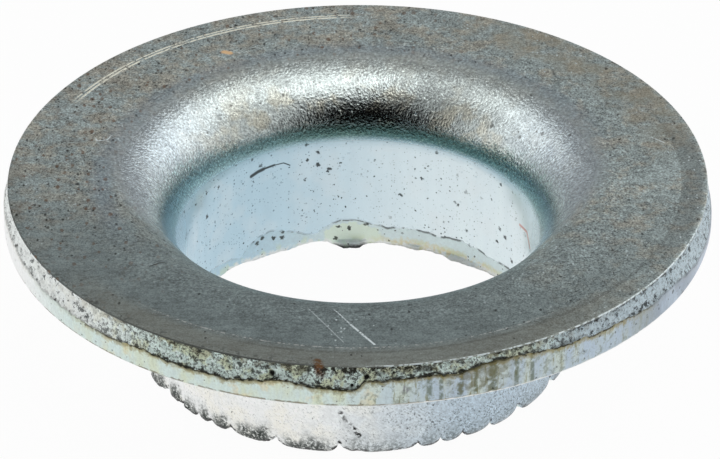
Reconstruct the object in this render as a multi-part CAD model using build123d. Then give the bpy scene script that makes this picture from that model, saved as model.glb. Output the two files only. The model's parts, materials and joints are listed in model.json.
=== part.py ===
from build123d import *
import os
from dataclasses import dataclass
from math import cos, radians, sin, tan

# Collar washer: a round sheet-steel washer with a short collar drawn down out of its middle.
# It stands on the torn free end of the collar, which is z = 0, so the flange is uppermost.
# The bore's axis is the Z axis. Sizes are in millimetres and angles in degrees.

# flange
flange_diameter = 32.0
sheet_thickness = 2.0
fracture_height = 1.0  # upper part of the blanked edge, where the sheet broke away from the die
fracture_lean = 0.2  # how far that part leans in by the time it reaches the top face
die_roll = 0.2  # the blanked edge is a little drawn in at the underside

# bore and collar
bore_diameter = 16.4
collar_wall = 1.7  # thinner than the sheet, because drawing the collar stretches it
overall_height = 8.5
shoulder_radius = 3.4  # bend from the top face into the bore
root_radius = 1.4  # bend from the underside of the flange into the collar

# free end of the collar
lip_height = 1.1  # broken zone at the bottom of the bore
lip_relief = 0.12  # how far that zone opens out by the time it reaches the end
rolled_height = 0.5  # the end is rolled in on its outside
rolled_depth = 0.3


@dataclass
class Lobe:
    width: float  # in degrees
    tip: float  # height of its lowest stretch above the standing plane
    notch: float  # height of the notch that follows it, going anticlockwise
    left: float = 0.0  # width in degrees of the rounded corner where it starts; 0 is as steep as an arc can be
    right: float = 0.0  # the same where it ends


# lobes of the torn end at the front of the collar, anticlockwise from first_lobe_angle
first_lobe_angle = -163.0
front_lobes = [
    Lobe(13.0, 0.00, 0.42, left=3.0, right=7.0),
    Lobe(7.5, 0.16, 0.30, left=2.0, right=4.5),
    Lobe(5.5, 0.00, 0.14, left=2.0, right=2.5),
    Lobe(4.8, 0.03, 0.17, left=2.0, right=2.0),
    Lobe(6.7, 0.00, 0.34, left=1.5, right=4.0),
    Lobe(13.7, 0.00, 0.58, left=3.0, right=6.0),
    Lobe(16.6, 0.00, 0.68, left=3.5, right=3.5),
    Lobe(21.0, 0.02, 0.47, left=6.0, right=3.0),
    Lobe(6.2, 0.02, 0.49, left=2.9, right=0.0),
    Lobe(6.2, 0.05, 0.45, left=2.9, right=0.0),
    Lobe(8.8, 0.02, 0.50, left=4.0, right=0.0),
    Lobe(9.2, 0.00, 0.78, left=3.5, right=0.0),
    Lobe(14.5, 0.00, 0.90, left=8.0, right=0.0),
    Lobe(17.0, 0.00, 0.35, left=11.0, right=4.0),
]
back_lobe_count = 20  # the rest of the way round, lobes of much the same kind
back_lobe_tip = 0.10
back_lobe_notch = 0.34
back_lobe_spread = 0.30  # how much their widths, tips and notches vary, as a share
back_corner_share = 0.36  # share of a back lobe's width that each of its rounded corners takes

bore_radius = bore_diameter / 2
flange_radius = flange_diameter / 2
collar_radius = bore_radius + collar_wall
seat_height = overall_height - sheet_thickness


def stamped_section():
    """Half section of the washer: flange, shoulder, bore, broken lip, collar and root."""
    shoulder_outer = (bore_radius + shoulder_radius, overall_height)
    edge_top = (flange_radius - fracture_lean, overall_height)
    edge_break = (flange_radius, overall_height - fracture_height)
    edge_low = (flange_radius, seat_height + die_roll)
    seat_outer = (flange_radius - die_roll, seat_height)
    seat_inner = (collar_radius + root_radius, seat_height)
    collar_top = (collar_radius, seat_height - root_radius)
    collar_low = (collar_radius, rolled_height)
    end_outer = (collar_radius - rolled_depth, 0)
    end_inner = (bore_radius + lip_relief, 0)
    lip_top = (bore_radius, lip_height)
    bore_top = (bore_radius, overall_height - shoulder_radius)
    outline = [
        Polyline(shoulder_outer, edge_top, edge_break, edge_low, seat_outer, seat_inner),
        RadiusArc(seat_inner, collar_top, -root_radius),
        Polyline(collar_top, collar_low, end_outer, end_inner, lip_top, bore_top),
        RadiusArc(bore_top, shoulder_outer, shoulder_radius),
    ]
    return Plane.XZ * make_face(outline)


def all_lobes():
    """The front lobes, and back lobes that share out the rest of the circle."""
    waves = [sin(2.4 * k) for k in range(back_lobe_count)]
    shares = [1 + back_lobe_spread * wave for wave in waves]
    rest = 360 - sum(lobe.width for lobe in front_lobes)
    back_lobes = []
    for wave, share in zip(waves, shares):
        width = rest * share / sum(shares)
        tip = back_lobe_tip * max(0, wave)
        notch = back_lobe_notch * (1 - back_lobe_spread * wave)
        corner = back_corner_share * width
        back_lobes.append(Lobe(width, tip, notch, left=corner, right=corner))
    return front_lobes + back_lobes


def corner_width(rise, angle):
    """A rounded corner is at least as wide as it is high."""
    return max(rise, collar_radius * radians(angle))


def lobe_prism(lobe, before, angle):
    """The lobe's outline, seen square on from outside the collar, pushed through the wall."""
    half = collar_radius * tan(radians(lobe.width / 2))
    top = lip_height + 1
    left = corner_width(before.notch - lobe.tip, lobe.left)
    right = corner_width(lobe.notch - lobe.tip, lobe.right)
    low_left, low_right = (left - half, lobe.tip), (half - right, lobe.tip)
    outline = [
        Polyline((-half, before.notch), (-half, top), (half, top), (half, lobe.notch)),
        TangentArc(low_right, (half, lobe.notch), tangent=(1, 0)),
        Line(low_right, low_left),
        TangentArc(low_left, (-half, before.notch), tangent=(-1, 0)),
    ]
    outward = Vector(cos(radians(angle)), sin(radians(angle)), 0)
    along = Vector(-sin(radians(angle)), cos(radians(angle)), 0)
    inside_wall = Plane(outward * (bore_radius - 1), x_dir=along, z_dir=outward)
    return extrude(inside_wall * make_face(outline), amount=collar_wall + 3)


def torn_away():
    """Everything that is missing between and under the lobes of the collar's end."""
    lobes = all_lobes()
    prisms = []
    start = first_lobe_angle
    for before, lobe in zip(lobes[-1:] + lobes, lobes):
        prisms.append(lobe_prism(lobe, before, start + lobe.width / 2))
        start += lobe.width
    height = 1.5 * lip_height
    outer = Cylinder(collar_radius + 0.8, height)
    inner = Cylinder(bore_radius - 0.8, height)
    return Pos(0, 0, lip_height - height / 2) * (outer - inner) - prisms


collar_washer = revolve(stamped_section(), Axis.Z) - torn_away()

os.makedirs("parts", exist_ok=True)
export_step(collar_washer, "parts/collar_washer.step")
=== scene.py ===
import functools
import json
import math
import bpy
import numpy as np
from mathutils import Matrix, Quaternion, Vector, noise


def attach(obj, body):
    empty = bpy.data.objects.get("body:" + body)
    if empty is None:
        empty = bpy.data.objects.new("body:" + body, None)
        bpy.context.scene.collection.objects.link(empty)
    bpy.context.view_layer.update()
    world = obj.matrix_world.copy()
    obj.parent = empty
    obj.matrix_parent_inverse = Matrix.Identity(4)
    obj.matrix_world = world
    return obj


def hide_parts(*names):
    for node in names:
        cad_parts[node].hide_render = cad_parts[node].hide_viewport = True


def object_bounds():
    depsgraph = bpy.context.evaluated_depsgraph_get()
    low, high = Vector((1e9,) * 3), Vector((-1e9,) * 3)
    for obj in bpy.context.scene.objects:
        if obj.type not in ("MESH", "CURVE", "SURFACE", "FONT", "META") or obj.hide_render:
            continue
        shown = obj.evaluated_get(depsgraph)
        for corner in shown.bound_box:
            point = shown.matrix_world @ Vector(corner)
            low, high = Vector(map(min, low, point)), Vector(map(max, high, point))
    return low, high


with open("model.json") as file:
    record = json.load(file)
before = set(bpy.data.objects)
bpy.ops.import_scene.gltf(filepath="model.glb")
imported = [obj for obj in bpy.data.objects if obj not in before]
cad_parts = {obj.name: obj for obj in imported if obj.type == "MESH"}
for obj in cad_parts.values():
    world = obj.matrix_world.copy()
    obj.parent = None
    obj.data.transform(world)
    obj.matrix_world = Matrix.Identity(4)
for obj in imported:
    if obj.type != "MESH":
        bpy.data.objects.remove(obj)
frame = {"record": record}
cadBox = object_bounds()

# the washer's main sizes in millimetres, read from the frame
mounts = {mount["name"]: mount for mount in frame["record"]["mounts"]}
flangeRadius = cadBox[1].x * 1000
topHeight = cadBox[1].z * 1000
seatHeight = mounts["seat_face"]["pos_m"][2] * 1000
boreRadius = mounts["bore"]["dims"]["r_mm"]
collarRadius = mounts["collar"]["dims"]["r_mm"]


def straightPart(mount):  # the lowest and highest point of a mount's cylinder
    middle = mounts[mount]["pos_m"][2] * 1000
    half = mounts[mount]["dims"]["length_mm"] / 2
    return middle - half, middle + half


lipHeight, boreTop = straightPart("bore")
collarTop = straightPart("collar")[1]
shoulderRadius = topHeight - boreTop
rootRadius = seatHeight - collarTop
print("frame loaded, flange", round(2 * flangeRadius, 1), "mm across and", round(topHeight, 1), "mm high")


# the camera, the lamps, the sky and the floor, in metres, watts and degrees
studio = {
    "elevation": 31.07,
    "distance": 0.32,
    "lens": 354.4,
    "roll": -0.165,
    "aim": Vector((0.0001, -0.0012, -0.0020)),  # where the camera looks, from the middle of the top face
    "floorSize": 6.0,
    "floorColour": (0.86, 0.86, 0.86, 1),
    "floorGlow": {"camera": 0.96, "glossy": 1.0},
    # the sky's light by sine of elevation, behind the washer and in front of it, where the room is dark
    "skyBehind": [(0.0, 0.36), (0.3, 0.38), (0.6, 0.33), (0.8, 0.28), (1.0, 0.45)],
    "skyInFront": [(0.0, 0.20), (0.03, 0.05), (0.06, 0.0), (0.74, 0.0), (0.90, 0.22), (1.0, 0.45)],
    "skySeam": (-0.35, 0.1),  # where the one becomes the other, as a share of the way to the back
    "softboxes": [
        {"azimuth": -55, "elevation": 77, "distance": 0.6, "size": (0.40, 0.42), "power": 0.65},
        {"azimuth": 150, "elevation": 43, "distance": 0.6, "size": (0.36, 0.40), "power": 0.46},
        {"azimuth": 33, "elevation": 40, "distance": 0.6, "size": (0.40, 0.50), "power": 0.70},
        {"azimuth": -36, "elevation": 45, "distance": 0.6, "size": (0.36, 0.34), "power": 0.20},
        {"azimuth": -150, "elevation": 42, "distance": 0.6, "size": (0.32, 0.30), "power": 0.12},
        {"azimuth": -176, "elevation": 14, "distance": 0.8, "size": (0.8, 0.5), "power": 0.90},
        {"azimuth": -16, "elevation": 16, "distance": 0.8, "size": (1.0, 0.6), "power": 0.90},
    ],
}


class Wire:  # an output socket, so that shader maths reads as plain arithmetic
    def __init__(self, board, socket):
        self.board = board
        self.socket = socket

    def maths(self, operation, *terms):
        return self.board.add("ShaderNodeMath", {"operation": operation}, dict(enumerate(terms)))

    def __add__(self, other):
        return self.maths("ADD", self, other)

    def __sub__(self, other):
        return self.maths("SUBTRACT", self, other)

    def __rsub__(self, other):
        return self.maths("SUBTRACT", other, self)

    def __mul__(self, other):
        return self.maths("MULTIPLY", self, other)

    def __truediv__(self, other):
        return self.maths("DIVIDE", self, other)

    def __pow__(self, other):
        return self.maths("POWER", self, other)

    def atMost(self, other):
        return self.maths("MINIMUM", self, other)

    def atLeast(self, other):
        return self.maths("MAXIMUM", self, other)

    __radd__ = __add__
    __rmul__ = __mul__


class Board:  # the node tree of a material or of the world
    def __init__(self, owner):
        owner.use_nodes = True
        self.tree = owner.node_tree
        self.tree.nodes.clear()

    def add(self, kind, settings=None, inputs=None, output=0):
        node = self.tree.nodes.new(kind)
        for name, value in (settings or {}).items():
            if name == "stops":
                self.setStops(node.color_ramp, value)
            else:
                setattr(node, name, value)
        for name, value in (inputs or {}).items():
            if isinstance(value, Wire):
                self.tree.links.new(value.socket, node.inputs[name])
            else:
                node.inputs[name].default_value = value
        if isinstance(output, tuple):
            return [Wire(self, node.outputs[name]) for name in output]
        return Wire(self, node.outputs[output]) if len(node.outputs) else None

    def setStops(self, ramp, stops):
        while len(ramp.elements) < len(stops):
            ramp.elements.new(1)
        for element, (place, colour) in zip(ramp.elements, stops):
            element.position = place
            element.color = colour

    def soft(self, value, low, high):  # 0 at low, 1 at high, and a smooth step between them
        inputs = {0: value, 1: low, 2: high}
        return self.add("ShaderNodeMapRange", {"interpolation_type": "SMOOTHSTEP"}, inputs)

    def paint(self, base, colour, amount):
        return self.add("ShaderNodeMix", {"data_type": "RGBA"}, {0: amount, 6: base, 7: colour}, 2)


def linear(share):
    return share / 12.92 if share <= 0.04045 else ((share + 0.055) / 1.055) ** 2.4


def srgb(red, green, blue):  # a colour as a paint chart gives it, 0 to 255
    return *(linear(value / 255) for value in (red, green, blue)), 1


def placeCamera():
    camera = bpy.data.objects.new("camera", bpy.data.cameras.new("camera"))
    bpy.context.scene.collection.objects.link(camera)
    camera.data.lens = studio["lens"]
    camera.data.sensor_width = 36
    topCentre = Vector((0, 0, cadBox[1].z))
    tilt = math.radians(studio["elevation"])
    camera.location = topCentre + Vector((0, -math.cos(tilt), math.sin(tilt))) * studio["distance"]
    gaze = topCentre + studio["aim"] - camera.location
    roll = Quaternion((0, 0, 1), math.radians(studio["roll"]))
    camera.rotation_mode = "QUATERNION"
    camera.rotation_quaternion = gaze.to_track_quat("-Z", "Y") @ roll
    bpy.context.scene.camera = camera
    bpy.context.scene.view_settings.view_transform = "Standard"


def placeSoftboxes():
    target = Vector((0, 0, cadBox[1].z))
    for number, box in enumerate(studio["softboxes"]):
        lamp = bpy.data.objects.new(f"softbox{number}", bpy.data.lights.new(f"softbox{number}", "AREA"))
        bpy.context.scene.collection.objects.link(lamp)
        lamp.data.shape = "RECTANGLE"
        lamp.data.size, lamp.data.size_y = box["size"]
        lamp.data.energy = box["power"]
        azimuth, elevation = math.radians(box["azimuth"]), math.radians(box["elevation"])
        out = Vector((math.cos(azimuth), math.sin(azimuth), math.tan(elevation))).normalized()
        lamp.location = target + out * box["distance"]
        lamp.rotation_euler = (-out).to_track_quat("-Z", "Y").to_euler()


def skyLight(board, height, part):
    stops = [(place, (level, level, level, 1)) for place, level in studio[part]]
    return board.add("ShaderNodeValToRGB", {"stops": stops}, {0: height})


def paintSky():
    world = bpy.data.worlds.new("sky")
    bpy.context.scene.world = world
    board = Board(world)
    direction = board.add("ShaderNodeTexCoord", output="Generated")
    ahead, height = board.add("ShaderNodeSeparateXYZ", {}, {0: direction}, ("Y", "Z"))
    inFront = skyLight(board, height, "skyInFront")
    behind = skyLight(board, height, "skyBehind")
    glow = board.paint(inFront, behind, board.soft(ahead, *studio["skySeam"]))
    lit = board.add("ShaderNodeBackground", {}, {"Color": glow, "Strength": 1.0})
    plain = board.add("ShaderNodeBackground", {}, {"Color": (1, 1, 1, 1), "Strength": 1.0})
    seen = board.add("ShaderNodeLightPath", output="Is Camera Ray")
    shown = board.add("ShaderNodeMixShader", {}, {0: seen, 1: lit, 2: plain})
    board.add("ShaderNodeOutputWorld", {}, {0: shown})


def layFloor():
    half = studio["floorSize"] / 2
    mesh = bpy.data.meshes.new("floor")
    corners = [(-half, -half, 0), (half, -half, 0), (half, half, 0), (-half, half, 0)]
    mesh.from_pydata(corners, [], [(0, 1, 2, 3)])
    floor = bpy.data.objects.new("floor", mesh)
    bpy.context.scene.collection.objects.link(floor)
    material = bpy.data.materials.new("floor")
    mesh.materials.append(material)
    board = Board(material)
    paper = board.add("ShaderNodeBsdfDiffuse", {}, {"Color": studio["floorColour"]})
    white = board.add("ShaderNodeEmission", {}, {"Color": (1, 1, 1, 1), "Strength": 1.0})
    camera = board.add("ShaderNodeLightPath", output="Is Camera Ray")
    glossy = board.add("ShaderNodeLightPath", output="Is Glossy Ray")
    through = board.add("ShaderNodeLightPath", output="Is Transmission Ray")
    glow = camera * studio["floorGlow"]["camera"] + glossy.atLeast(through) * studio["floorGlow"]["glossy"]
    above = board.add("ShaderNodeMixShader", {}, {0: glow, 1: paper, 2: white})
    clear = board.add("ShaderNodeBsdfTransparent")
    below = board.add("ShaderNodeNewGeometry", output="Backfacing")
    shown = board.add("ShaderNodeMixShader", {}, {0: below, 1: above, 2: clear})
    board.add("ShaderNodeOutputMaterial", {}, {0: shown})


placeCamera()
placeSoftboxes()
paintSky()
layFloor()
print("studio ready")


# the washer's own values, in millimetres, and degrees of azimuth that run anticlockwise with the front at -90
washer = {
    "columns": 1080,
    "edgeRadius": 0.06,  # top edge of the rim
    "fractureLean": 0.2,
    "breakStep": 0.04,  # how far the fracture's foot stands in from the band
    "ledge": 0.06,  # height of the slope between them
    "dieRoll": 0.2,
    # lengths that the grain takes these stretches of the section to have
    "lengths": {"fracture": 1.0, "band": 0.8, "underside": 4.5, "end": 1.5},
    "rollHeight": 0.75,  # the collar's end is rolled in on its outside
    # radius of the collar's end where it is rolled in, by azimuth
    "endRadius": [
        (-163, 9.92), (-145, 9.78), (-130, 9.72), (-115, 9.66), (-90, 9.56), (-30, 9.54), (90, 9.6),
    ],
    "endTop": 2.6,  # height at which the collar's finer rows begin
    "endStep": 0.06,  # how far the end's inner edge stands out from the bore
    "burrLean": 1.6,  # how far a burr curls in for each millimetre that it would hang
    "lobeBulge": 0.06,
    "lobeReach": 1.3,  # how high up the collar the lobes' bulges and creases reach
    "spikyAzimuth": -140,  # middle of the lobes at the left that are torn more roughly than the others
    "spike": {"azimuth": -141.0, "width": 0.9, "length": 0.22, "height": 0.35, "reach": 0.3},
    # the fold that runs down the front of the collar, as azimuth, radius and height
    "crease": {
        "line": [(-94.6, 9.95, 2.23), (-92.8, 9.95, 1.75), (-91.1, 9.9, 1.39), (-89.9, 9.85, 1.03)],
        "width": 0.22, "depth": 0.10, "top": 2.4, "fade": 0.8, "dirtWidth": 0.17,
    },
    "crystalSize": 0.28,
    "crystalDepth": 0.09,
    "crystalRadius": 15.9,
    "breakRadius": 16,
    "pits": [(-103.7, 7.86, 0.14), (-88.6, 7.92, 0.14), (-91.0, 7.50, 0.10)],  # azimuth, height and width
    # dark spots in the bore and on its torn lip: azimuth, height and size
    "boreSpots": [
        (99.3, 4.10, 0.13), (99.7, 3.97, 0.10), (95.6, 4.40, 0.09), (68.8, 3.85, 0.10), (55.4, 2.95, 0.10),
        (141.2, 4.95, 0.09), (147.8, 3.80, 0.14), (34.0, 2.50, 0.15), (38.3, 2.00, 0.11), (41.0, 4.05, 0.09),
        (30.0, 1.50, 0.13),
    ],
    "lipSpots": [
        (115.0, 1.15, 0.12), (111.7, 1.05, 0.12), (115.4, 0.80, 0.12), (118.6, 0.90, 0.13),
        (122.8, 1.10, 0.14), (125.0, 0.90, 0.12), (106.7, 0.85, 0.12), (97.4, 0.30, 0.14),
        (96.3, 0.95, 0.13), (92.7, 0.82, 0.13), (87.1, 1.05, 0.15),
    ],
    # stains that ran down the rim: azimuth and width in degrees
    "drips": [
        (-78.9, 0.3), (-77.0, 0.2), (-73.9, 0.4), (-71.4, 0.15), (-68.5, 0.6), (-64.5, 0.25), (-61.7, 0.2),
    ],
    # height of the line where the blanked edge broke away, by azimuth
    "breakHeight": [
        (-168, 7.75), (-150, 7.45), (-133, 7.45), (-128, 7.55), (-115, 7.40), (-111, 7.35), (-106, 7.55),
        (-101, 7.72), (-98, 7.50), (-91, 7.35), (-88.5, 7.82), (-80, 7.95), (-74, 7.85), (-70, 8.12),
        (-65, 8.15), (-57, 7.90), (-42, 7.75), (-37, 7.50), (-29, 7.60), (-20, 7.15), (-10, 7.00),
        (20, 7.30), (60, 7.60), (95, 7.35), (140, 7.60), (170, 7.45),
    ],
    # height of the line where the bore's lip broke away
    "lipLine": [
        (-160, 1.0), (-120, 0.8), (-80, 1.1), (-30, 0.9), (20, 0.9), (33, 0.93), (43, 0.87), (54, 1.04),
        (62, 0.88), (72, 1.01), (80, 0.88), (86, 1.10), (90, 1.27), (96, 1.28), (98.5, 1.15), (103.5, 0.65),
        (108, 0.75), (112, 1.00), (116, 1.20), (120, 1.36), (124, 1.24), (128, 0.92), (131.5, 0.44),
        (136, 0.62), (160, 0.9),
    ],
    # how far the lip's torn edge hangs, below zero where a burr curls in
    "lipEdge": [
        (-150, 0.1), (-100, 0.0), (-60, 0.12), (0, 0.0), (35, 0.0), (41, -0.09), (51, -0.19), (57, -0.27),
        (61, -0.12), (68, -0.08), (70, -0.17), (73.5, -0.14), (76, -0.04), (82, 0.0), (86.5, -0.04),
        (88, -0.16), (89.5, -0.30), (95, -0.30), (97.5, -0.08), (100, 0.13), (105, 0.19), (109.5, 0.11),
        (113, 0.0), (125, -0.02), (131, 0.10), (137, 0.12), (141, 0.0), (170, 0.05),
    ],
}

# the torn end's lobes at the front, anticlockwise: width in degrees, tip, height of the notch after it,
# and the widths in degrees of its left and right corners, where 0 is as steep as an arc can be
firstLobeAzimuth = -163.0
frontLobes = [
    (13.0, 0.00, 0.42, 3.0, 7.0), (7.5, 0.16, 0.30, 2.0, 4.5), (5.5, 0.00, 0.14, 2.0, 2.5),
    (4.8, 0.03, 0.17, 2.0, 2.0), (6.7, 0.00, 0.34, 1.5, 4.0), (13.7, 0.00, 0.58, 3.0, 6.0),
    (16.6, 0.00, 0.68, 3.5, 3.5), (21.0, 0.02, 0.47, 6.0, 3.0), (6.2, 0.02, 0.49, 2.9, 0.0),
    (6.2, 0.05, 0.45, 2.9, 0.0), (8.8, 0.02, 0.50, 4.0, 0.0), (9.2, 0.00, 0.78, 3.5, 0.0),
    (14.5, 0.00, 0.90, 8.0, 0.0), (17.0, 0.00, 0.35, 11.0, 4.0),
]
backLobes = {"count": 20, "tip": 0.10, "notch": 0.34, "spread": 0.30, "cornerShare": 0.36}

turn = np.linspace(0, 2 * math.pi, washer["columns"], endpoint=False)
degrees = (np.degrees(turn) + 180) % 360 - 180
across, deep = np.cos(turn), np.sin(turn)


def around(knots):  # values given at some azimuths, drawn out to every column
    angles, values = zip(*knots)
    return np.interp(degrees, angles, values, period=360)


def wander(size, seed, radius=10.0):  # smooth noise round the circle, -1 to 1, features about size mm long
    reach = radius / size
    return np.array([noise.noise(Vector((x * reach, y * reach, seed))) for x, y in zip(across, deep)])


def grainAt(radius, height, size, seed):
    lift = np.broadcast_to(height, turn.shape) / size + seed
    points = zip(across * radius / size, deep * radius / size, lift)
    return np.array([noise.noise(Vector(point)) for point in points])


def allLobes():
    waves = [math.sin(2.4 * k) for k in range(backLobes["count"])]
    shares = [1 + backLobes["spread"] * wave for wave in waves]
    rest = 360 - sum(lobe[0] for lobe in frontLobes)
    lobes = list(frontLobes)
    for wave, share in zip(waves, shares):
        width = rest * share / sum(shares)
        notch = backLobes["notch"] * (1 - backLobes["spread"] * wave)
        corner = backLobes["cornerShare"] * width
        lobes.append((width, backLobes["tip"] * max(0, wave), notch, corner, corner))
    return lobes


def roundedCorner(beyond, width, rise):  # height of an arc that starts level and climbs rise within width
    radius = (width * width + rise * rise) / (2 * rise)
    reach = np.clip(beyond, 0, width)
    return radius - np.sqrt(radius * radius - reach * reach)


def tornEnd():
    lobes = allLobes()
    height = np.zeros(turn.shape)
    middle = np.zeros(turn.shape)  # 1 in the middle of a lobe, 0 at a notch
    start = firstLobeAzimuth
    for before, (width, tip, notch, left, right) in zip(lobes[-1:] + lobes, lobes):
        share = (degrees - start) % 360
        mine = share < width
        half = collarRadius * math.tan(math.radians(width / 2))
        place = collarRadius * np.tan(np.radians(share[mine] - width / 2))
        sides = []
        for rise, angle, sign in ((before[2] - tip, left, -1), (notch - tip, right, 1)):
            corner = max(rise, collarRadius * math.radians(angle))
            sides.append(roundedCorner(sign * place - (half - corner), corner, rise))
        height[mine] = tip + np.maximum(*sides)
        middle[mine] = np.sin(math.pi * share[mine] / width) ** 0.6
        start += width
    return height, middle


def stretch(start, end, steps):  # rows from start to just before end; both are (radius, height)
    for k in range(steps):
        share = k / steps
        yield tuple(np.asarray(a) + (np.asarray(b) - np.asarray(a)) * share for a, b in zip(start, end))


def arc(centre, radius, start, end, steps):
    for k in range(steps):
        angle = math.radians(start + (end - start) * k / steps)
        yield centre[0] + radius * math.cos(angle), centre[1] + radius * math.sin(angle)


class Section:  # rows of points round the washer, in order along its section from the bottom of the bore
    def __init__(self):
        self.rows = []  # each is radius and height by column, the length so far, and the zone of finish
        self.length = 0.0

    def keep(self, zone, length, points):
        points = list(points)
        for k, point in enumerate(points):
            radius, height = (np.broadcast_to(value, turn.shape).copy() for value in point)
            self.rows.append((radius, height, self.length + length * k / len(points), zone))
        self.length += length


def drawLines():  # by column: heights of the lines between finishes, and 1 in the middle of each lobe
    lipLine = around(washer["lipLine"]) + 0.05 * wander(0.5, 3.1) + 0.02 * wander(0.2, 8.3)
    rim = washer["breakRadius"]
    breakLine = around(washer["breakHeight"]) + 0.08 * wander(0.6, 5.2, rim) + 0.07 * wander(0.22, 1.4, rim)
    endLine, lobe = tornEnd()
    spiky = 0.5 + 0.5 * np.cos(np.radians(np.clip((degrees - washer["spikyAzimuth"]) * 4, -180, 180)))
    endLine = endLine + (0.03 + 0.05 * spiky) * wander(0.4, 7.7) + (0.02 + 0.06 * spiky) * wander(0.15, 2.9)
    hang = around(washer["lipEdge"]) + 0.05 * wander(0.6, 4.4) + 0.03 * wander(0.2, 6.8)
    return {
        "breakLine": breakLine, "lipLine": lipLine, "endLine": np.maximum(endLine, 0.0),
        "lobe": lobe, "edgeLine": np.maximum(hang, 0), "curl": np.minimum(hang, 0),
    }


def crystals(rows):  # dents a stretch of rows with crystals and pits, less so at its two ends
    size, rim = washer["crystalSize"], washer["crystalRadius"]
    for k, (radius, height) in enumerate(rows):
        relief = grainAt(rim, height, size, 0.7) + 0.6 * grainAt(rim, height, size / 2, 4.2)
        for azimuth, level, width in washer["pits"]:
            gap = np.hypot((degrees - azimuth) * math.pi / 180 * rim, height - level)
            relief = relief + 2.5 * np.exp(-(gap / width) ** 2)
        depth = washer["crystalDepth"] * min(1, k / 2, (len(rows) - k) / 2)
        yield radius - depth * np.clip(0.5 + relief, 0, 3), height


def outsideRadius(height, lobe):
    depth = collarRadius - around(washer["endRadius"])
    roll = depth * np.clip(1 - height / washer["rollHeight"], 0, 1) ** 2
    fade = np.clip(1 - height / washer["lobeReach"], 0, 1)
    fade = fade * fade * (3 - 2 * fade)
    fold = washer["crease"]
    azimuths, _, heights = zip(*fold["line"])
    beside = (degrees - np.interp(height, heights[::-1], azimuths[::-1])) * math.pi / 180 * collarRadius
    crease = np.exp(-(beside / fold["width"]) ** 2) * np.clip((fold["top"] - height) / fold["fade"], 0, 1)
    spike = washer["spike"]
    point = spike["length"] * np.exp(-((degrees - spike["azimuth"]) / spike["width"]) ** 2)
    point = point * np.clip(1 - np.abs(height - spike["height"]) / spike["reach"], 0, 1)
    bulge = washer["lobeBulge"] * fade * (2 * lobe - 1)
    return collarRadius - roll - crease * fold["depth"] + point + bulge


def collarRows(steps):  # from the plain part of the collar down to the torn end, closer together as they go
    top = washer["endTop"]
    for k in range(steps):
        height = top + (lines["endLine"] - top) * (k / steps) ** 0.62
        yield outsideRadius(height, lines["lobe"]), height


def lipRows(radius, height, steps):  # from the end's inner edge up to the bore; a burr's shelf is one row
    for k in range(steps):
        yield radius + (boreRadius - radius) * min(1, k), height + (lines["lipLine"] - height) * (k / steps)


def drawSection():
    section = Section()
    edge, roll, lengths = washer["edgeRadius"], washer["dieRoll"], washer["lengths"]
    lipLine, breakLine, endLine = lines["lipLine"], lines["breakLine"], lines["endLine"]

    section.keep("face", boreTop - lipHeight, stretch((boreRadius, lipLine), (boreRadius, boreTop), 4))
    shoulder = (boreRadius + shoulderRadius, boreTop)
    section.keep("face", shoulderRadius * math.pi / 2, arc(shoulder, shoulderRadius, 180, 90, 16))
    topRadius = flangeRadius - washer["fractureLean"]
    topEdge = (topRadius - edge, topHeight)
    section.keep("face", topEdge[0] - shoulder[0], stretch((shoulder[0], topHeight), topEdge, 8))
    section.keep("face", edge * math.pi / 2, arc((topEdge[0], topHeight - edge), edge, 90, 0, 3))

    fractureFoot = (flangeRadius - washer["breakStep"], breakLine)
    torn = list(stretch((topRadius, topHeight - edge), fractureFoot, 12))
    section.keep("fracture", lengths["fracture"], crystals(torn))
    bandTop = (flangeRadius, breakLine - washer["ledge"])
    section.keep("band", washer["ledge"], stretch(fractureFoot, bandTop, 2))
    section.keep("band", lengths["band"], stretch(bandTop, (flangeRadius, seatHeight + roll), 5))
    rollCentre = (flangeRadius - roll, seatHeight + roll)
    section.keep("band", roll * math.pi / 2, arc(rollCentre, roll, 0, -90, 3))

    root = (collarRadius + rootRadius, collarTop)
    seatOuter, seatInner = (rollCentre[0], seatHeight), (root[0], seatHeight)
    section.keep("collar", lengths["underside"], stretch(seatOuter, seatInner, 3))
    section.keep("collar", rootRadius * math.pi / 2, arc(root, rootRadius, 90, 180, 5))
    top = washer["endTop"]
    section.keep("collar", collarTop - top, stretch((collarRadius, collarTop), (collarRadius, top), 3))
    section.keep("collar", top, collarRows(14))

    outer = (outsideRadius(endLine, lines["lobe"]), endLine)
    curl = lines["curl"] * washer["burrLean"] * np.abs(deep)  # a burr shows most at the front and the back
    inner = (boreRadius + washer["endStep"] + curl, lines["edgeLine"])
    section.keep("torn", lengths["end"], stretch(outer, inner, 4))
    section.keep("torn", lipHeight, lipRows(*inner, 8))
    return section


lines = drawLines()
section = drawSection()
print("section rows:", len(section.rows))

zoneNames = ["face", "fracture", "band", "collar", "torn"]


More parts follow.
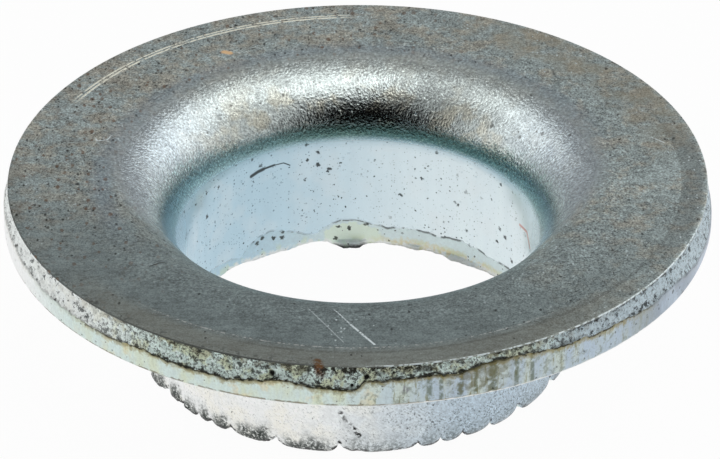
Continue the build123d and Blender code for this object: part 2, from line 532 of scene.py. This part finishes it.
def buildWasher():
    count, columns = len(section.rows), washer["columns"]
    points = np.empty((count, columns, 3))
    for k, (radius, height, _, _) in enumerate(section.rows):
        points[k] = np.stack([across * radius, deep * radius, height], -1) / 1000
    first = np.arange(count)[:, None] * columns + np.arange(columns)[None]
    up = np.roll(first, -1, 0)
    quads = np.stack([first, up, np.roll(up, -1, 1), np.roll(first, -1, 1)], -1).reshape(-1, 4)
    mesh = bpy.data.meshes.new("washer")
    mesh.from_pydata(points.reshape(-1, 3).tolist(), [], quads.tolist())
    mesh.update()
    mesh.shade_smooth()
    slots = np.repeat([zoneNames.index(row[3]) for row in section.rows], columns)
    mesh.polygons.foreach_set("material_index", slots.astype(np.int32))
    here = np.array([row[2] for row in section.rows])
    after = np.append(here[1:], section.length)
    corner = np.stack([here, after, after, here], -1)[:, None].repeat(columns, 1)
    attribute = mesh.attributes.new("along", "FLOAT", "CORNER")
    attribute.data.foreach_set("value", corner.reshape(-1).astype(np.float32))
    for name in ("breakLine", "lipLine", "endLine", "lobe", "edgeLine"):
        attribute = mesh.attributes.new(name, "FLOAT", "POINT")
        attribute.data.foreach_set("value", np.tile(lines[name], count).astype(np.float32))
    layOut(mesh, corner / section.length)
    piece = bpy.data.objects.new("washer", mesh)
    bpy.context.scene.collection.objects.link(piece)
    return piece


def layOut(mesh, share):  # the section's length runs up the map, and each half turn has half of its height
    columns = washer["columns"]
    half = columns // 2
    margin = 0.004
    start = np.arange(columns) % half
    spot = np.stack([start, start, start + 1, start + 1], -1) / half
    right = margin + (1 - 2 * margin) * np.broadcast_to(spot, share.shape)
    lift = np.where(np.arange(columns) < half, 0.0, 0.5)[None, :, None]
    up = lift + margin + (0.5 - 2 * margin) * share
    flat = mesh.uv_layers.new(name="OFBake")
    flat.data.foreach_set("uv", np.stack([right, up], -1).reshape(-1).astype(np.float32))


piece = buildWasher()
print("washer built,", len(piece.data.polygons) * 2, "triangles")


boreEnd = boreTop - lipHeight  # lengths along the section, from the bottom of the bore
shoulderEnd = boreEnd + shoulderRadius * math.pi / 2

finish = {
    # flange
    "flangeBlue": srgb(186, 199, 199),
    "flangeBrown": srgb(194, 194, 184),
    "flangeFront": srgb(146, 159, 160),
    "rimShade": srgb(112, 118, 118),
    "smudge": srgb(60, 62, 60),
    "shoulderEdge": srgb(150, 164, 176),
    "dieMark": srgb(255, 255, 238),
    "witness": srgb(70, 66, 60),
    "rust": srgb(120, 84, 52),
    "orange": srgb(250, 205, 150),
    "umber": srgb(122, 78, 26),
    "tan": srgb(172, 162, 138),
    # shoulder and bore
    "shoulder": srgb(208, 218, 216),
    "shoulderSide": srgb(190, 204, 218),
    "cream": srgb(222, 212, 182),
    "shoulderStain": srgb(60, 54, 42),
    "tealLeft": srgb(146, 176, 178),
    "tealRight": srgb(114, 146, 137),
    "boreLeft": srgb(190, 218, 232),
    "boreRight": srgb(238, 251, 255),
    "redThread": srgb(216, 140, 128),
    # fracture
    "crystal": srgb(228, 246, 240),
    "crystalYellow": srgb(224, 224, 168),
    "crystalRight": srgb(206, 222, 234),
    "vein": srgb(26, 34, 26),
    "crack": srgb(40, 48, 50),
    "brown": srgb(128, 106, 60),
    "murk": srgb(30, 30, 18),
    "brink": srgb(34, 32, 20),
    "rustStreak": srgb(124, 74, 24),
    # band
    "band": srgb(222, 238, 234),
    "bandRight": srgb(180, 196, 214),
    "bandDark": srgb(150, 162, 176),
    "bandYellow": srgb(228, 234, 198),
    "bandOrange": srgb(236, 212, 156),
    "olive": srgb(132, 128, 76),
    "drip": srgb(84, 94, 58),
    "blot": srgb(112, 112, 132),
    "grime": srgb(120, 130, 116),
    "halo": srgb(160, 146, 88),
    "bandStain": srgb(110, 106, 72),
    "underBrown": srgb(104, 88, 52),
    "chip": srgb(60, 60, 66),
    # collar
    "collarLeft": srgb(250, 252, 251),
    "collarRight": srgb(190, 206, 218),
    "collarCream": srgb(255, 248, 226),
    "fleck": srgb(84, 94, 98),
    "haze": srgb(150, 164, 150),
    "soot": srgb(28, 44, 36),
    "burnt": srgb(16, 16, 12),
    # torn end
    "lip": srgb(226, 240, 240),
    "tab": srgb(236, 248, 226),
    "lipTan": srgb(226, 206, 150),
    "moss": srgb(216, 228, 192),
    "lipDirt": srgb(36, 42, 32),
    # anywhere
    "soil": srgb(26, 26, 22),
    "chalk": srgb(240, 242, 240),
    "spark": srgb(240, 252, 255),
}


def onTop(*places):  # azimuth and radius of places on the top face
    return [(azimuth, radius, topHeight) for azimuth, radius in places]


def inBore(*places):  # azimuth and height of places in the bore
    return [(azimuth, boreRadius, height) for azimuth, height in places]


# single marks, each a line of places and its width
marks = {
    "hookHead": (inBore((126.8, 4.64), (124.3, 4.75), (122.0, 4.80)), 0.13),
    "hookNeck": (inBore((122.0, 4.80), (118.0, 4.84)), 0.08),
    "hookTail": (inBore((118.0, 4.83), (114.7, 4.83), (112.5, 4.63)), 0.04),
    "redThread": (inBore((24.9, 3.87), (19.2, 3.95), (16.2, 3.35)), 0.10),
    "orangeFleck": (onTop((118.5, 12.95), (117.7, 12.75)), 0.22),
    "scrapeStart": (onTop((-95.9, 11.04), (-91.4, 12.44)), 0.045),
    "scrapeEnd": (onTop((-91.4, 12.44), (-87.1, 14.05)), 0.07),
    "faintScrape": (onTop((-102.2, 11.03), (-92.6, 13.87)), 0.035),
    "nick": (onTop((163.3, 12.47), (164.3, 12.32), (163.3, 11.91), (161.2, 11.84)), 0.05),
    "tick": (onTop((14.8, 13.83), (12.2, 14.29)), 0.05),
    "gouge": (onTop((-140.7, 11.90), (-140.5, 11.39), (-139.7, 11.00)), 0.06),
    "dent": (onTop((47.0, 13.24), (44.9, 12.88), (43.1, 12.82), (41.9, 13.17)), 0.08),
    "rustAbove": (onTop((-96.6, 15.45), (-96.0, 15.9)), 0.26),
    "rustBelow": ([(-96.2, 15.8, 8.5), (-95.9, 15.9, 7.7)], 0.26),
}


class Finish(Board):  # a material's board, with the places on the washer that it works from, in millimetres
    def __init__(self, name):
        self.material = bpy.data.materials.new(name)
        super().__init__(self.material)
        metres = self.add("ShaderNodeTexCoord", output="Object")
        self.place = self.add("ShaderNodeVectorMath", {"operation": "SCALE"}, {0: metres, "Scale": 1000.0})
        x, y, self.height = self.add("ShaderNodeSeparateXYZ", {}, {0: self.place}, ("X", "Y", "Z"))
        self.radius = (x * x + y * y) ** 0.5
        self.east = x / self.radius
        self.north = y / self.radius
        self.along = self.measured("along")

    def measured(self, name):
        return self.add("ShaderNodeAttribute", {"attribute_name": name}, output="Fac")

    def vector(self, operation, first, second, output=0):
        return self.add("ShaderNodeVectorMath", {"operation": operation}, {0: first, 1: second}, output)

    def unrolled(self, radius, stretch=1.0):  # a place on the unrolled section, drawn out along its length
        parts = {"X": self.east * radius, "Y": self.north * radius, "Z": self.along / stretch}
        return self.add("ShaderNodeCombineXYZ", {}, parts)

    def slanted(self, stretch):  # the same place, drawn out along a slope that falls to the right
        turned = self.add("ShaderNodeMapping", {}, {0: self.place, "Rotation": (0, math.radians(-35), 0)})
        return self.vector("DIVIDE", turned, (stretch, 1.0, 1.0))

    def grain(self, size, where=None, detail=3.0, roughness=0.55):  # about 0.3 to 0.7, features size mm long
        inputs = {"Vector": where or self.place, "Scale": 1 / size, "Detail": detail, "Roughness": roughness}
        return self.add("ShaderNodeTexNoise", {}, inputs)

    def specks(self, size, share, radius, where=None):  # one round speck in a share of the cells size mm wide
        inputs = {"Vector": where or self.place, "Scale": 1 / size}
        distance, colour = self.add("ShaderNodeTexVoronoi", {}, inputs, ("Distance", "Color"))
        pick, bulk = self.add("ShaderNodeSeparateColor", {}, {0: colour}, ("Red", "Green"))
        reach = (bulk * 0.7 + 0.3) * (radius / size)
        return self.soft(distance / reach, 1.0, 0.55) * self.soft(pick, share + 0.01, share)

    def ragged(self, amount, size):  # the place moved a little, for spots with uneven outlines
        inputs = {"Vector": self.place, "Scale": 1 / size, "Detail": 2.0}
        shift = self.add("ShaderNodeTexNoise", {}, inputs, "Color")
        shift = self.vector("SUBTRACT", shift, (0.5, 0.5, 0.5))
        shift = self.add("ShaderNodeVectorMath", {"operation": "SCALE"}, {0: shift, "Scale": amount})
        return self.vector("ADD", self.place, shift)

    def sector(self, start, end, blur=6.0):  # 1 between two azimuths in degrees
        middle, half = math.radians((start + end) / 2), (end - start) / 2
        facing = self.east * math.cos(middle) + self.north * math.sin(middle)
        outer, inner = (math.cos(math.radians(min(180, max(0, half + step)))) for step in (blur, -blur))
        return self.soft(facing, outer, inner)

    def near(self, point, size, where=None):  # 1 around a place given as azimuth, radius and height
        gap = self.vector("DISTANCE", where or self.place, spotOn(*point), "Value")
        return self.soft(gap, size, size * 0.5)

    def gapTo(self, start, end, where):  # distance to a straight line between two places
        step = Vector(end) - Vector(start)
        onto = self.vector("DOT_PRODUCT", self.vector("SUBTRACT", where, start), tuple(step), "Value")
        share = (onto / step.length_squared).atLeast(0.0).atMost(1.0)
        reach = self.add("ShaderNodeVectorMath", {"operation": "SCALE"}, {0: tuple(step), "Scale": share})
        return self.vector("DISTANCE", where, self.vector("ADD", reach, start), "Value")

    def scratch(self, points, width, where=None):  # 1 along a line from place to place
        places = [spotOn(*point) for point in points]
        gaps = [self.gapTo(start, end, where or self.place) for start, end in zip(places, places[1:])]
        return self.soft(functools.reduce(Wire.atMost, gaps), width, width * 0.4)

    def mark(self, name, where=None):
        return self.scratch(*marks[name], where)

    def spots(self, places, radius, where):  # 1 in round spots given as azimuth, height and size
        each = [self.near((azimuth, radius, height), size, where) for azimuth, height, size in places]
        return functools.reduce(Wire.atLeast, each)

    def ring(self, radius, width):
        return self.soft(self.radius.maths("ABSOLUTE", self.radius - radius), width, width * 0.4)

    def shaded(self, colour, amount):  # colour made lighter or darker by a factor
        settings = {"data_type": "RGBA", "blend_type": "MULTIPLY"}
        return self.add("ShaderNodeMix", settings, {0: 1.0, 6: colour, 7: amount}, 2)

    def coat(self, name, amount):  # a colour over the colour so far
        self.colour = self.paint(self.colour, finish[name], amount)

    def tone(self, amount):
        self.colour = self.shaded(self.colour, amount)

    def finishOff(self, metal, roughness, relief):  # relief is a height in millimetres
        inputs = {"Height": relief, "Distance": 0.001}
        normal = self.add("ShaderNodeBump", {}, inputs, "Normal")
        inputs = {"Base Color": self.colour, "Metallic": metal, "Roughness": roughness, "Normal": normal}
        shader = self.add("ShaderNodeBsdfPrincipled", {}, inputs)
        self.add("ShaderNodeOutputMaterial", {}, {0: shader})
        return self.material


def spotOn(azimuth, radius, height):
    angle = math.radians(azimuth)
    return radius * math.cos(angle), radius * math.sin(angle), height


class Face(Finish):  # flange, shoulder and bore, with the grains and marks that they share
    def __init__(self):
        super().__init__("face")
        self.fine = self.grain(0.075, detail=1.0)
        self.coarse = self.grain(0.24, roughness=0.7)
        self.mottle = self.grain(1.1)
        self.peel = self.grain(0.12, self.unrolled(11.0), detail=2.0)  # as on orange skin
        self.frayed = self.ragged(0.12, 0.12)
        self.upright = self.vector("MULTIPLY", self.frayed, (1.0, 0.6, 1.0))
        self.dots = self.specks(0.42, 0.50, 0.09, self.upright)
        broken = self.soft(self.grain(0.22), 0.36, 0.46)
        # the die's raised rings, with a painted highlight on them where they lie at the back left
        rings = self.ring(14.60, 0.075).atLeast(self.ring(14.79, 0.06))
        self.dieMark = rings * self.sector(92, 151, 3) * broken


def flangeColour(f):  # dull steel under thin plating, speckled behind, smoother and streaked in front
    left = f.sector(75, 215, 30)
    calm = f.soft(f.north + f.east * 0.35, -0.3, -0.95)
    cloud = f.grain(4.5)
    warm = f.soft(f.grain(1.3, detail=4.0, roughness=0.65) + left * 0.05, 0.46, 0.66)
    behind = f.paint(finish["flangeBlue"], finish["flangeBrown"], warm)
    f.colour = f.paint(finish["flangeFront"], behind, f.soft(f.north + f.east * 0.2, -0.95, 0.15))
    drawn = f.vector("MULTIPLY", f.place, (0.25, 1.0, 1.0))
    streaks = f.grain(0.22, drawn, detail=4.0, roughness=0.7)
    speckle = (f.fine - 0.5) * (2.2 - calm * 1.2) + (f.coarse - 0.5) * (1.7 - calm * 0.9)
    clouds = (f.mottle - 0.5) * 0.5
    f.tone(1 + speckle + clouds + (cloud - 0.5) * 0.4 + (streaks - 0.5) * (0.2 + calm * 0.8))

    patchy = f.soft(f.grain(0.5, detail=4.0, roughness=0.75), 0.50, 0.64) * f.soft(f.grain(2.4), 0.40, 0.60)
    f.coat("rust", patchy * left * f.soft(f.radius, 11.8, 14.2) * 0.4)
    outer = f.soft(f.radius, 12.6, 14.4) * f.soft(f.radius, 15.85, 15.4)
    f.coat("tan", f.sector(14, 64, 12) * outer * f.soft(f.mottle, 0.30, 0.6) * 0.5)
    shade = f.soft(f.radius, 14.6, 14.9) * f.soft(f.radius, 15.75, 15.5)
    f.coat("rimShade", f.sector(-22, 14, 8) * shade * 0.4)
    f.coat("tan", f.soft(f.radius, 14.0, 14.9) * f.sector(-140, -45, 15) * 0.28)
    # darker near the outer edge at the left and left front, broken by noise, and darkest on the rounded edge
    smudge = f.soft(f.radius, 15.0, 15.8) * f.soft(f.coarse, 0.50, 0.60)
    smudge = (smudge * 0.6).atLeast(f.soft(f.radius, 15.72, 15.78) * 0.7) * f.sector(-185, -95, 12)
    f.coat("smudge", smudge)
    # painted reflection: a darker blue band on the flange just outside the shoulder, at the back
    edge = f.soft(f.along, shoulderEnd - 0.8, shoulderEnd - 0.2)
    edge = edge * f.soft(f.along, shoulderEnd + 0.9, shoulderEnd)
    f.coat("shoulderEdge", edge * f.sector(20, 200, 15) * 0.5)

    f.coat("soil", f.dots * 0.7)
    f.coat("rust", f.specks(0.36, 0.5, 0.14, f.upright) * left * 0.65)
    f.coat("soil", f.specks(0.26, 0.55, 0.09, f.upright) * left * 0.8)
    # painted highlights: white sparkles over the plating's grains, and glints around the scrape at the front
    sparkles = f.specks(0.22, 0.5, 0.065, f.upright) * (0.35 + 0.5 * f.soft(cloud, 0.4, 0.6))
    sparkles = sparkles * (1 - 0.7 * calm)
    glints = f.specks(0.2, 0.6, 0.06, f.upright) * f.near((-90.5, 12.9, topHeight), 2.2)
    f.coat("spark", sparkles.atLeast(glints * 0.8))

    # rings that the die left, with a painted highlight on them at the back left and painted shade along them
    # at the front and right
    f.coat("dieMark", f.dieMark)
    dark = f.ring(14.69, 0.12) * f.sector(-112, 24, 6) * f.soft(f.coarse, 0.40, 0.58)
    f.coat("witness", dark * 0.35)
    pale = f.ring(14.30, 0.06) * f.sector(-128, -55, 8) * f.soft(f.grain(0.14), 0.48, 0.58)
    f.coat("chalk", pale * 0.6)
    return f.colour


def shoulderColour(f):  # bright drawn metal with painted reflection on its sides, and a teal tint where it turns into the bore, darkened there by painted reflection
    stain = f.specks(0.6, 0.5, 0.13, f.frayed).atLeast(f.specks(0.3, 0.45, 0.07, f.frayed))
    f.colour = f.shaded(finish["shoulder"], 1 + (f.grain(0.5) - 0.5) * 0.9)
    low = f.soft(f.along, boreEnd + 4.0, boreEnd + 2.2) * f.sector(40, 140, 20)
    cream = f.soft(f.grain(1.2), 0.46, 0.64)
    f.coat("cream", cream * (0.1 + 0.35 * low))
    # painted reflection: a bluish grey on the shoulder's left and right sides
    side = f.soft(f.east * f.east, 0.3, 0.9)
    f.coat("shoulderSide", side * 0.5)
    f.coat("shoulderStain", stain * 0.6)
    # the teal band: a tint, with painted reflection darker in its middle and lighter on its sides, and the
    # orange peel's painted shading on its sides
    teal = f.paint(finish["tealLeft"], finish["tealRight"], f.soft(f.east, -0.7, -0.1))
    teal = f.shaded(teal, 0.88 + (f.fine - 0.5) * 0.8 + (f.peel - 0.5) * side * 2.4 + side * 0.35)
    teal = f.paint(teal, finish["soil"], f.specks(0.2, 0.6, 0.08, f.frayed) * side * 0.7)
    depth = f.along + (f.coarse - 0.5) * (0.5 + side * 2.2)
    return f.paint(f.colour, teal, f.soft(depth, boreEnd + 1.5 + side, boreEnd + 1.05) * (0.9 - side * 0.2))


def boreColour(f):  # burnished by the punch, with dirt, and a painted shadow line where its lip broke away
    # painted light: the bore's right wall lighter and its left wall darker
    f.colour = f.paint(finish["boreLeft"], finish["boreRight"], f.soft(f.east, -0.7, 0.6))
    f.coat("chalk", f.soft(f.grain(1.5, detail=4.0), 0.44, 0.70) * 0.2)
    f.tone(1 + (f.grain(0.5, f.unrolled(8.0, 6.0)) - 0.5) * 0.12 + (f.fine - 0.5) * 0.06)
    sparse = f.soft(f.grain(2.2), 0.40, 0.56)
    torn = f.ragged(0.22, 0.12)
    dirt = f.specks(0.19, 0.45, 0.06, f.frayed).atLeast(f.specks(0.5, 0.36, 0.14, torn))
    dirt = (dirt * (0.4 + 0.6 * sparse)).atLeast(f.specks(0.12, 0.5, 0.04) * 0.5)
    dirt = dirt.atLeast(f.spots(washer["boreSpots"], boreRadius, torn))
    hook = f.mark("hookHead").atLeast(f.mark("hookNeck")).atLeast(f.mark("hookTail"))
    # painted shadow: a dark line just above where the lip broke away, mixed with the bore's dirt
    brink = f.soft(f.height - f.measured("lipLine"), 0.10, 0.03) * f.soft(f.grain(0.4), 0.46, 0.56)
    brink = brink * (f.sector(26, 84, 4) * 0.7 + 0.25)
    f.coat("soil", dirt.atLeast(hook).atLeast(brink) * 0.9)
    f.coat("redThread", f.mark("redThread") * 0.8)
    return f.colour


def faceFinish():
    f = Face()
    forward = f.soft(f.north, 0.2, -0.9)
    flat = f.soft(f.along + forward * 3.4, shoulderEnd - 1.1, shoulderEnd + 0.3)
    bore = f.soft(f.along, boreEnd + 0.80, boreEnd + 0.35)
    peeled = f.soft(f.along, shoulderEnd + 2.4, shoulderEnd) * f.soft(f.along, boreEnd + 0.3, boreEnd + 1.0)
    f.colour = f.paint(shoulderColour(f), flangeColour(f), flat)
    # painted shade and highlight: the orange peel's hollows darker and its crests lighter, on top of its bump
    f.tone(1 + (f.peel - 0.5) * (peeled * 1.6))
    f.colour = f.paint(f.colour, boreColour(f), bore)

    orange = f.mark("orangeFleck", f.frayed)
    f.coat("orange", orange * 0.9)
    scrape = (f.mark("scrapeStart") * 0.8).atLeast(f.mark("scrapeEnd"))
    bright = scrape.atLeast(f.mark("faintScrape") * 0.5)
    bright = bright.atLeast(f.mark("nick") * 0.8).atLeast(f.mark("tick") * 0.7)
    f.coat("spark", bright * f.soft(f.grain(0.12), 0.34, 0.50))
    pit = f.near((-9.3, 12.34, topHeight), 0.10)
    dark = (f.mark("gouge") * 0.7).atLeast(f.mark("dent") * 0.35).atLeast(pit * 0.8)
    f.coat("soil", dark)
    rusty = f.mark("rustAbove", f.frayed) * f.soft(f.coarse, 0.34, 0.50)
    f.coat("umber", rusty * 0.8)
    # painted highlight: a bright broken line along the top edge at the front right, where a burr catches the
    # light
    edgeHighlight = f.soft(f.radius, flangeRadius - 0.26, flangeRadius - 0.22) * f.sector(-88, -15, 4)
    f.coat("spark", edgeHighlight * f.soft(f.grain(0.25), 0.42, 0.56) * 0.8)

    metal = 1 - bore * 0.35 - (bright.atLeast(f.dieMark) * 0.6).atLeast(orange * 0.7)
    sheen = f.soft(f.along, boreEnd + 2.6, boreEnd + 1.6) * (1 - bore)
    roughness = 0.22 + flat * 0.25 - sheen * 0.08
    ahead = f.soft(f.north, 0.6, -0.9)
    relief = f.peel * (peeled * (0.030 + flat * 0.015)) + f.fine * (flat * (0.016 - ahead * 0.008))
    relief = relief - f.dots * 0.01 + f.dieMark * 0.02 + scrape * 0.01
    return f.finishOff(metal, roughness, relief)


def fractureFinish():  # coarse crystals where the blanking die tore the steel
    f = Finish("fracture")
    ragged = f.ragged(0.10, 0.10)
    crystal = f.grain(0.12, roughness=0.7)
    front = f.sector(-132, -58, 10)
    right = f.sector(-58, 30, 8)
    above = f.height - f.measured("breakLine")
    down = topHeight - f.height
    uneven = f.grain(0.28) - 0.5
    clumps = f.grain(0.26, ragged, detail=4.0, roughness=0.75)
    patches = f.grain(0.8)
    f.colour = f.shaded(finish["crystal"], 1.05 + (crystal - 0.5) * 1.5)
    yellow = f.soft(patches + f.soft(down, 0.9, 0.1) * 0.06, 0.50, 0.62) * f.sector(-150, -60, 15)
    f.coat("crystalYellow", yellow * 0.5)
    # painted light: the fracture bluer and darker on the right and whiter on the left, where the light falls
    f.coat("crystalRight", right * 0.8)
    f.coat("collarLeft", f.sector(-205, -132, 12) * 0.85)
    veins = f.soft(clumps, 0.47, 0.37).atLeast(f.soft(f.grain(0.11, ragged, detail=2.0), 0.47, 0.37) * 0.8)
    f.coat("vein", veins * (0.18 + 0.25 * right + 0.7 * front))
    f.coat("crack", f.soft(clumps + (patches - 0.5) * 0.5, 0.43, 0.37) * (1 - front) * 0.8)
    f.coat("soil", f.specks(0.20, 0.35, 0.06, ragged) * 0.8)
    brown = f.soft(f.grain(0.4), 0.44, 0.60) * f.soft(down, 0.6, 0.1) * f.sector(-140, -50, 15)
    f.coat("brown", brown * 0.4)
    brow = f.soft(down + uneven * 0.8, 0.24, 0.12) * f.soft(patches, 0.34, 0.46) * f.soft(clumps, 0.60, 0.50)
    f.coat("soil", brow * f.sector(-132, -20, 12) * 0.75)
    murk = f.sector(-99, -79, 5) * f.soft(down + uneven * 0.9, 0.50, 0.24) * f.soft(clumps, 0.60, 0.48)
    f.coat("murk", murk)
    # a dark line at the fracture's foot, partly dirt and partly painted shadow at the step to the band
    brink = f.soft(above + uneven * 0.35, 0.12, 0.03) * f.soft(f.grain(0.3), 0.40, 0.50)
    f.coat("brink", brink * (0.35 + 0.6 * front))
    rust = f.mark("rustBelow", ragged)
    streak = rust * f.soft(down, 0.75, 0.3) * f.soft(uneven, -0.16, 0.0)
    f.coat("rustStreak", streak * 0.9)
    f.coat("soil", rust * f.soft(clumps, 0.54, 0.46) * 0.9)
    for azimuth, height, width in washer["pits"]:
        f.coat("soil", f.near((azimuth, 15.75, height), width * 1.2))
    metal = 0.5 + 0.4 * f.sector(-205, -125, 12)
    return f.finishOff(metal, 0.5 + (crystal - 0.5) * 0.3, crystal * 0.05 - veins * 0.015)


def bandFinish():  # the part of the rim that the die burnished, and its rounded lower edge
    f = Finish("band")
    ragged = f.ragged(0.15, 0.2)
    fine = f.grain(0.10, detail=2.0)
    below = f.measured("breakLine") - f.height
    streaks = f.grain(0.16, f.unrolled(16.0, 4.0), roughness=0.65)
    wash = f.grain(0.9, f.unrolled(16.0, 2.5), detail=4.0)
    front = f.sector(-136, -84, 12)
    middle = f.sector(-94, -40, 8)
    # painted light: the band whiter at the left, where the light falls, and bluer and darker on the right
    f.colour = f.paint(finish["collarLeft"], finish["band"], f.sector(-150, -28, 10))
    f.coat("bandRight", f.sector(-86, 60, 12) * 0.85)
    f.coat("bandDark", f.sector(-42, -22, 5) * f.soft(wash, 0.3, 0.6) * 0.8)
    yellow = f.soft(wash, 0.40, 0.66) * (front * 0.6).atLeast(middle * 0.4)
    f.coat("bandYellow", yellow)
    f.coat("bandOrange", front * f.soft(f.grain(0.9), 0.54, 0.68) * 0.4)
    f.tone(1 + (fine - 0.5) * 0.35 + (streaks - 0.5) * 0.3)
    brownish = f.soft(streaks + (wash - 0.5) * 0.6, 0.56, 0.70)
    f.coat("olive", brownish * (0.12 * front).atLeast(0.7 * middle))
    drips = [f.sector(azimuth - width, azimuth + width, 0.3) for azimuth, width in washer["drips"]]
    drips = functools.reduce(Wire.atLeast, drips) * f.soft(f.grain(0.3), 0.32, 0.52)
    f.coat("drip", drips * 0.7)
    f.coat("blot", f.near((-82.8, 16.0, 7.33), 0.30, ragged) * f.soft(streaks, 0.40, 0.60) * 0.7)
    grimy = f.soft(f.grain(0.22, detail=4.0, roughness=0.7) + (wash - 0.5) * 0.3, 0.50, 0.64)
    f.coat("grime", grimy * middle * 0.55)
    halo = 1 - f.soft(below + (f.grain(0.2) - 0.5) * 0.6, 0.04, 0.30)
    f.coat("halo", halo * (0.1 + 0.6 * front.atLeast(middle)))
    # a dark line along the top of the band, partly dirt and partly painted shadow of the step
    line = 1 - f.soft(below + (f.grain(0.2) - 0.5) * 0.1, 0.02, 0.08)
    line = line * f.soft(f.grain(0.35), 0.40, 0.52)
    f.coat("soil", line * (0.3 + 0.6 * front.atLeast(middle)))
    stain = f.soft(f.grain(0.3, ragged, detail=4.0) + (f.height - 7.3) * 0.12, 0.38, 0.60)
    f.coat("bandStain", f.sector(-75.0, -66.5, 2.5) * stain * 0.65)
    dirt = f.specks(0.24, 0.45, 0.07, ragged).atLeast(f.specks(0.6, 0.35, 0.13, ragged))
    f.coat("soil", dirt * 0.65)
    low = f.height + (f.grain(0.25) - 0.5) * 0.16
    under = f.soft(low, seatHeight + 0.20, seatHeight + 0.13) * f.soft(f.grain(0.6), 0.38, 0.52)
    f.coat("underBrown", under * f.sector(-165, -72, 10) * 0.75)
    # painted highlight: a thin white line along the rounded lower edge at the front right
    f.coat("chalk", f.soft(low, seatHeight + 0.16, seatHeight + 0.08) * f.sector(-84, -30, 5))
    f.coat("chip", f.near((-25.5, 16.0, 6.60), 0.16, ragged))
    return f.finishOff(0.70, 0.40 + (streaks - 0.5) * 0.2, fine * 0.008 + streaks * 0.010)


def collarFinish():
    f = Finish("collar")
    ragged = f.ragged(0.15, 0.2)
    fine = f.grain(0.12, f.unrolled(10.0, 1.0), roughness=0.7)
    # painted light: the collar white on the left, where the light falls, and bluish grey and darker on the
    # right
    right = f.soft(f.east, -0.35, 0.55) * f.soft(f.height, seatHeight, seatHeight - 0.8)
    f.colour = f.paint(finish["collarLeft"], finish["collarRight"], right)
    f.coat("collarCream", f.soft(f.grain(1.6), 0.46, 0.66) * (1 - right) * 0.35)
    hair = f.grain(0.09, f.slanted(2.6), detail=2.0)
    smoke = f.grain(0.8, detail=4.0, roughness=0.6)
    depth = 1 + right * 1.6
    f.tone(1 + (fine - 0.5) * depth * 0.3 + (hair - 0.5) * depth * 0.35 + (smoke - 0.5) * 0.25)
    flecks = f.soft(f.grain(0.08, f.slanted(1.5), roughness=0.7) + right * 0.04, 0.55, 0.66)
    f.coat("fleck", flecks * f.soft(smoke, 0.36, 0.54) * (0.4 + 0.4 * right))
    above = f.height - f.measured("endLine")
    # painted shade: the lower middle of each lobe, where the end rolls in towards the floor, darker and less
    # metallic, broken by noise
    low = f.soft(above + (smoke - 0.5) * 1.8, 1.2, 0.10) * f.soft(f.measured("lobe"), 0.30, 0.90)
    low = low * (1 - f.sector(-92, 90, 8) * 0.5)
    rough = f.soft(f.grain(0.14, ragged, detail=4.0, roughness=0.8) + low * 0.09, 0.48, 0.57)
    f.coat("haze", low * 0.2)
    f.coat("soot", low * rough)
    # painted shade: a broken blackish line along the torn end's rolled edge
    edge = f.soft(above + (f.grain(0.2) - 0.5) * 0.5, 0.26, 0.06)
    edge = edge * f.soft(f.grain(0.25, ragged), 0.42, 0.52)
    f.coat("burnt", edge)
    f.coat("soil", f.specks(0.30, 0.4, 0.07, ragged) * 0.7)
    # a broken darker line along the crease
    crease = f.scratch(washer["crease"]["line"], washer["crease"]["dirtWidth"], ragged)
    f.coat("soil", crease * f.soft(f.grain(0.16), 0.40, 0.52))
    paintedShade = (low * rough).atLeast(edge)
    return f.finishOff(0.82 - paintedShade * 0.5, 0.40 + (fine - 0.5) * 0.2, fine * 0.03)


def tornFinish():  # the ragged end, and the torn lip inside it
    f = Finish("torn")
    ragged = f.ragged(0.15, 0.18)
    grain = f.grain(0.16, roughness=0.65)
    above = f.height - f.measured("edgeLine")
    below = f.measured("lipLine") - f.height
    # painted light: the lip darker on its left wall and lighter on its right, as in the bore
    f.colour = f.paint(finish["boreLeft"], finish["lip"], f.soft(f.east, -0.75, 0.1))
    f.tone(1 + (grain - 0.5) * 0.3)
    tab = f.soft(f.sector(84, 99, 5) + (f.grain(0.4) - 0.5) * 1.2, 0.35, 0.65)
    tab = tab * f.soft(below + (f.grain(0.3) - 0.5) * 0.5, 0.10, 0.25)
    f.coat("tab", tab * 0.7)
    tan = f.sector(36, 80, 10) * f.soft(above + (grain - 0.5) * 0.5, 0.55, 0.15)
    f.coat("lipTan", tan * f.soft(f.grain(0.7), 0.38, 0.52) * 0.8)
    f.coat("moss", f.soft(f.grain(0.7), 0.50, 0.62) * f.soft(above, 0.6, 0.2) * 0.5)
    crumbs = f.soft(above + (f.grain(0.2) - 0.5) * 0.5, 0.30, 0.08) * f.soft(f.grain(0.5), 0.38, 0.50)
    f.coat("chalk", crumbs * 0.9)
    # a dark line just below where the lip broke away, painted shadow of the step, with dirt and spots
    brink = (1 - f.soft(below + (f.grain(0.3) - 0.5) * 0.12, 0.02, 0.08)) * f.soft(f.grain(0.4), 0.44, 0.54)
    plainer = f.sector(26, 84, 4) * 0.6 + f.sector(86, 98, 2) * 0.8 + f.sector(108, 126, 3) * 0.4 + 0.1
    spots = f.spots(washer["lipSpots"], boreRadius, f.ragged(0.30, 0.14))
    dirt = f.specks(0.28, 0.45, 0.07, ragged)
    dirt = dirt.atLeast(f.specks(0.5, 0.5, 0.11, ragged) * f.soft(below, 0.5, 0.1))
    f.coat("lipDirt", dirt.atLeast(brink * plainer).atLeast(spots) * 0.9)
    flake = f.sector(88, 97, 1.5) * (1 - f.soft(above + (f.grain(0.2) - 0.5) * 0.1, 0.02, 0.11))
    inside = f.soft(f.radius, boreRadius + 0.4, boreRadius + 0.2)
    f.coat("soil", flake * inside * 0.9)
    return f.finishOff(0.6, 0.42 + (grain - 0.5) * 0.2, grain * 0.03)


for make in (faceFinish, fractureFinish, bandFinish, collarFinish, tornFinish):
    piece.data.materials.append(make())
print("finishes on")

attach(piece, "root")
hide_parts("collar_washer")

print("washer in place")
